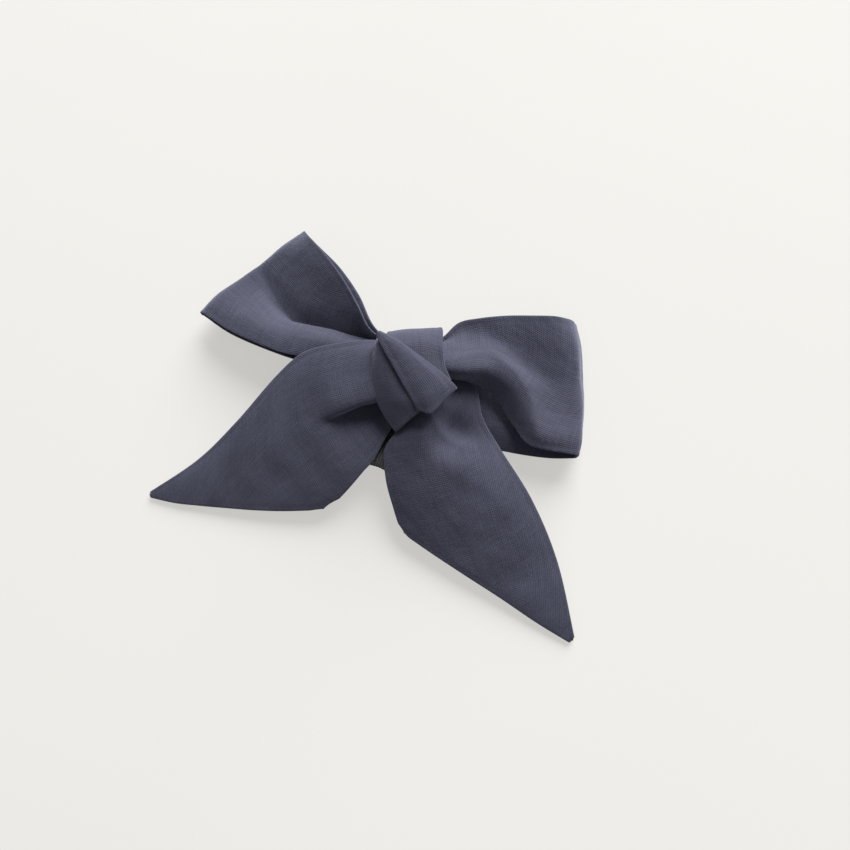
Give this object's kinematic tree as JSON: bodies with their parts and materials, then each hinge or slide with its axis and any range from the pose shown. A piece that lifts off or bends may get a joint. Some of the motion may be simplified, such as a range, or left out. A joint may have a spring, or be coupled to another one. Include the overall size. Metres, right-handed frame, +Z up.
{
  "type": "hair bow",
  "caption": "Hand-tied linen hair bow with two loops, two slanted tails and a folded knot, on a ribbon-lined spring clip.",
  "frame": {"origin": "under the knot, on the flat underside of the clip's lower arm, which lies on the surface", "axes": "+Z up from the surface through the knot, +X along the right loop, +Y to the top of the bow, away from its tails"},
  "size_m": [0.1537, 0.103, 0.0247],
  "materials": {
    "linen": "plain-weave slate navy linen with fine slubs, pressed edges, matt",
    "ribbon": "near-black ribbed ribbon, slight sheen",
    "clip_steel": "stamped, nickel plated",
    "pin_steel": "headed and peened",
    "spring_steel": "bright drawn wire",
    "glue": "set hot-melt glue, milky",
    "thread": "twisted sewing thread"
  },
  "bodies": {
    "bow": {"clip_top_arm": "clip_steel", "hinge_pin": "pin_steel", "clip_spring": "spring_steel", "ribbon_top": "ribbon", "glue_pad": "glue", "tack_thread": "thread", "knot_core": "linen", "knot_band": "linen", "knot_underwrap": "linen", "knot_flap": "linen", "left_loop": "linen", "right_loop": "linen", "left_tail": "linen", "right_tail": "linen"},
    "jaw": {"clip_jaw": "clip_steel", "ribbon_jaw": "ribbon"}
  },
  "joints": [
    {"name": "jaw_hinge", "type": "hinge", "parent": "bow", "child": "jaw", "pos_m": [0, -0.013, 0.0034], "axis": [-1, 0, 0], "range_deg": [0, 16], "stiffness_Nm_per_rad": 0.3, "springref_deg": -17.19, "deforming": ["clip_spring"]}
  ]
}
